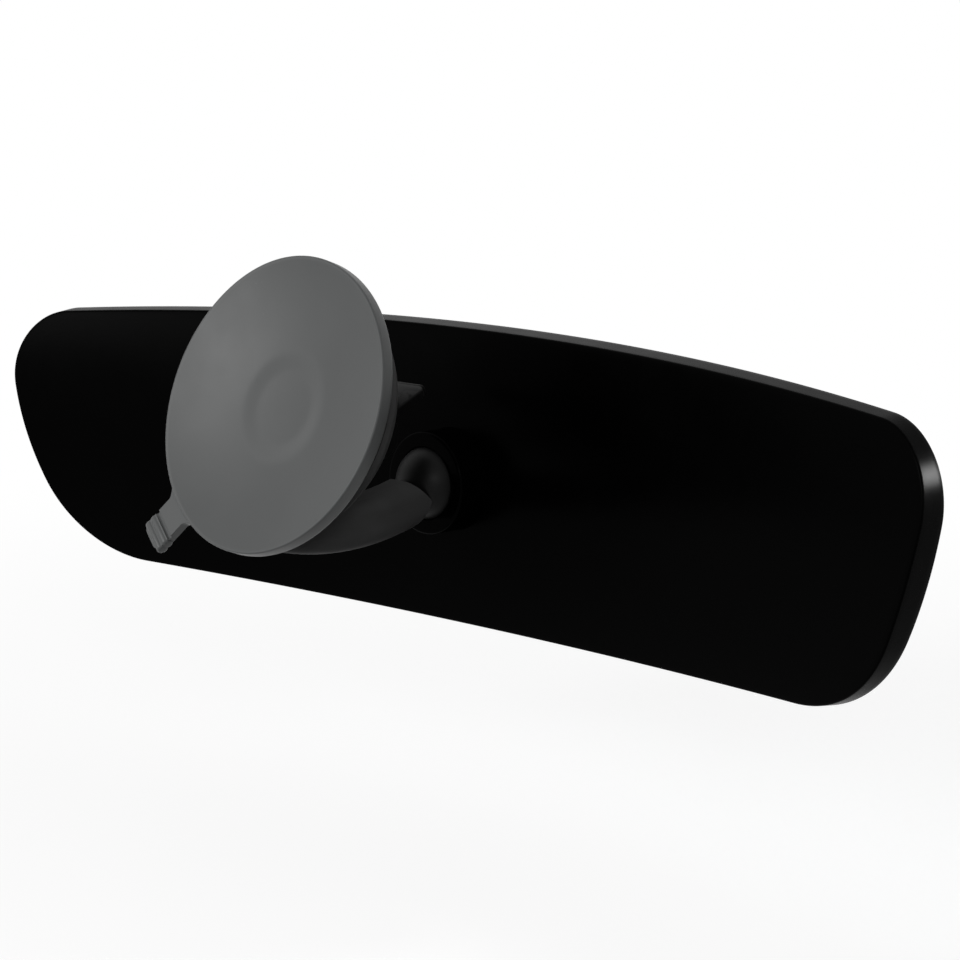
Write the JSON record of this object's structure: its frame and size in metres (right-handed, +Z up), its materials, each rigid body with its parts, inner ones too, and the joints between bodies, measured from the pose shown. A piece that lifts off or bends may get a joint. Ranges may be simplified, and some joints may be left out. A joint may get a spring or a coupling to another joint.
{
  "type": "interior rearview mirror",
  "caption": "Wide bowed interior rearview mirror with a black shell, on a bent arm with a ball joint and a suction cup with a cam lever lock",
  "frame": {"origin": "Centre of the suction cup's sealing plane", "axes": "+X along the glass, +Y towards the driver and the glass, +Z up"},
  "size_m": [0.283, 0.0756, 0.0877],
  "materials": {
    "gloss_black": "glossy moulded ABS",
    "mirror": "silvered glass, polished",
    "film": "matt film",
    "foam": "matt foam sheet",
    "nylon": "moulded nylon",
    "steel": "plated steel",
    "dark_plastic": "satin moulded plastic",
    "rubber": "smooth satin rubber"
  },
  "bodies": {
    "cup": {"suction_cup": "rubber", "cup_stem": "dark_plastic"},
    "base": {"base_housing": "dark_plastic", "arm": "dark_plastic", "ball_stud": "dark_plastic", "arm_screws": "steel", "cam_washer": "steel"},
    "lever": {"cam_lever": "dark_plastic", "lever_pin": "steel"},
    "seat": {"socket_seat": "nylon"},
    "ring": {"socket_ring": "nylon"},
    "head": {"back_shell": "gloss_black", "mirror_glass": "mirror", "backing_film": "film", "glass_pad": "foam", "socket_housing": "gloss_black", "spring_washer": "steel", "retainer_plate": "steel", "retainer_screws": "steel"}
  },
  "joints": [
    {"name": "base_slide", "type": "slide", "parent": "cup", "child": "base", "axis": [0, -0.9426, 0.3338], "range_m": [0, 0.0025]},
    {"name": "lever_turn", "type": "hinge", "parent": "cup", "child": "lever", "pos_m": [0, 0.02526, -0.00895], "axis": [1, 0, 0], "range_deg": [0, 55]},
    {"name": "head_pan", "type": "hinge", "parent": "base", "child": "seat", "pos_m": [0, 0.0486, -0.0226], "axis": [0, 0, 1], "range_deg": [-15, 15]},
    {"name": "head_tilt", "type": "hinge", "parent": "seat", "child": "ring", "pos_m": [0, 0.0486, -0.0226], "axis": [1, 0, 0], "range_deg": [-15, 15]},
    {"name": "head_roll", "type": "hinge", "parent": "ring", "child": "head", "pos_m": [0, 0.0486, -0.0226], "axis": [0, 1, 0], "range_deg": [-12, 12]}
  ],
  "couplings": [
    {"joint": "lever_turn", "follows": "base_slide", "rad_per_m": 383.97}
  ]
}
